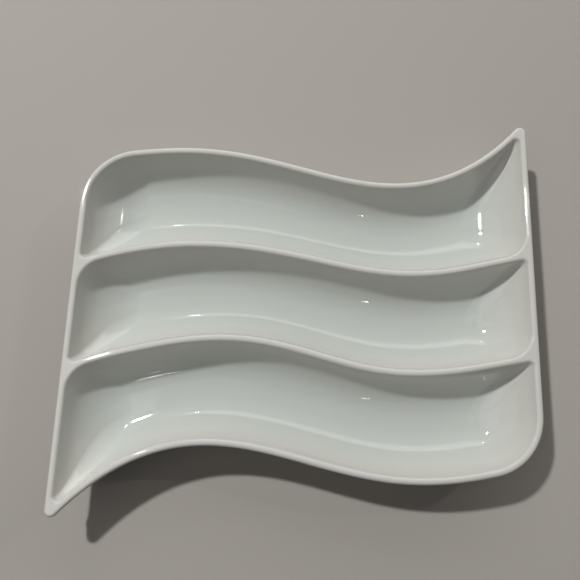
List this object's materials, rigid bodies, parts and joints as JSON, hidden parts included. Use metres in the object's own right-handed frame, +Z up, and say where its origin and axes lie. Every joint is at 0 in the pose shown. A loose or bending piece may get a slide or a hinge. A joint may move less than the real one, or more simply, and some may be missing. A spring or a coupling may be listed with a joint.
{
  "type": "divided serving dish",
  "caption": "Wave-edged serving dish with long round-bottomed troughs side by side, rounded and pointed corners, a rolled rim and bare foot rings.",
  "frame": {"origin": "centre of the box round the dish's plan, at the level of the table", "axes": "+X along the troughs towards the right end, +Y across them towards the rear edge, +Z up"},
  "size_m": [0.3, 0.2636, 0.038],
  "materials": {
    "glaze": "gloss",
    "bisque": "matte"
  },
  "bodies": {
    "root": {"rear_compartment": "glaze", "middle_compartment": "glaze", "front_compartment": "glaze", "rear_divider": "glaze", "front_divider": "glaze", "rear_rim": "glaze", "front_rim": "glaze", "left_rim": "glaze", "right_rim": "glaze", "rear_foot": "bisque", "middle_foot": "bisque", "front_foot": "bisque"}
  },
  "joints": []
}
